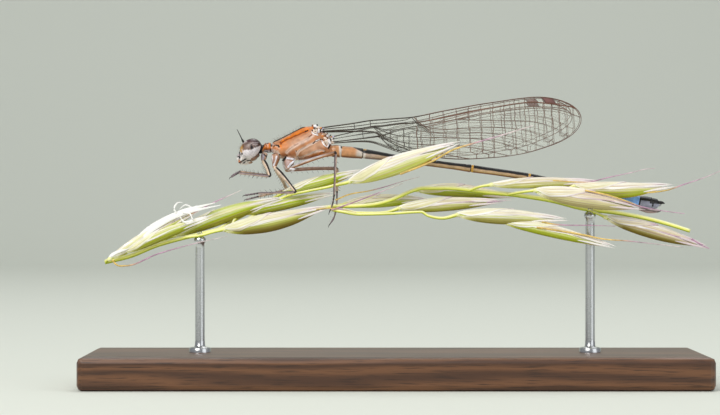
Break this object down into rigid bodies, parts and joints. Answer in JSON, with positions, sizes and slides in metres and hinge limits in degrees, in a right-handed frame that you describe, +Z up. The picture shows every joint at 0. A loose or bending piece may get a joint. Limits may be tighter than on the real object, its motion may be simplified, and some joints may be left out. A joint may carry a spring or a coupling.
{
  "type": "damselfly model on a grass perch and display stand",
  "caption": "Life-size blue-tailed damselfly with closed wings, gripping a cut length of flowering grass held above a flat display base by short rods.",
  "frame": {"origin": "centre of the underside of the stand's base, which is the centre of the model's footprint", "axes": "+X runs from the insect's head to its tail, +Z is up, -Y is the insect's left side"},
  "size_m": [0.0454, 0.018, 0.0212],
  "materials": {
    "eye": "compound eye, purple-brown above and pale grey-blue below, faceted gloss",
    "head": "orange-tan and black chitin, short pale hairs",
    "black_chitin": "black chitin, satin",
    "thorax": "orange back, pinkish tan sides with pale seams, fine hairs",
    "abdomen": "bronze-black above, tan sides, pale and black rings, satin",
    "blue_ring": "blue chitin, satin",
    "wing": "clear corrugated membrane with brown veins and a grey-brown wing spot",
    "leg": "tan chitin with black stripes, black joints and spines",
    "grass": "fresh green grass flower with pale papery edges and purple tinges",
    "stand_wood": "oiled dark wood with fine grain",
    "stand_steel": "satin"
  },
  "bodies": {
    "root": {"abdomen_01": "abdomen", "abdomen_02": "abdomen", "abdomen_03": "abdomen", "abdomen_04": "abdomen", "abdomen_05": "abdomen", "abdomen_06": "abdomen", "abdomen_07": "abdomen", "abdomen_08": "blue_ring", "abdomen_09": "abdomen", "abdomen_10": "abdomen", "antenna_left": "black_chitin", "antenna_right": "black_chitin", "cercus_left": "black_chitin", "cercus_right": "black_chitin", "eye_left": "eye", "eye_right": "eye", "head": "head", "leg_front_left_femur": "leg", "leg_front_left_tarsus": "leg", "leg_front_left_tibia": "leg", "leg_front_right_femur": "leg", "leg_front_right_tarsus": "leg", "leg_front_right_tibia": "leg", "leg_hind_left_femur": "leg", "leg_hind_left_tarsus": "leg", "leg_hind_left_tibia": "leg", "leg_hind_right_femur": "leg", "leg_hind_right_tarsus": "leg", "leg_hind_right_tibia": "leg", "leg_mid_left_femur": "leg", "leg_mid_left_tarsus": "leg", "leg_mid_left_tibia": "leg", "leg_mid_right_femur": "leg", "leg_mid_right_tarsus": "leg", "leg_mid_right_tibia": "leg", "neck": "black_chitin", "ovipositor": "abdomen", "perch_spikelet_01": "grass", "perch_spikelet_02": "grass", "perch_spikelet_03": "grass", "perch_spikelet_04": "grass", "perch_spikelet_05": "grass", "perch_spikelet_06": "grass", "perch_spikelet_07": "grass", "perch_spikelet_08": "grass", "perch_spikelet_09": "grass", "perch_spikelet_10": "grass", "perch_spikelet_11": "grass", "perch_spikelet_12": "grass", "perch_stem": "grass", "prothorax": "thorax", "stand_base": "stand_wood", "stand_rod_left": "stand_steel", "stand_rod_right": "stand_steel", "thorax": "thorax", "wing_fore_left": "wing", "wing_fore_right": "wing", "wing_hind_left": "wing", "wing_hind_right": "wing"}
  },
  "joints": []
}
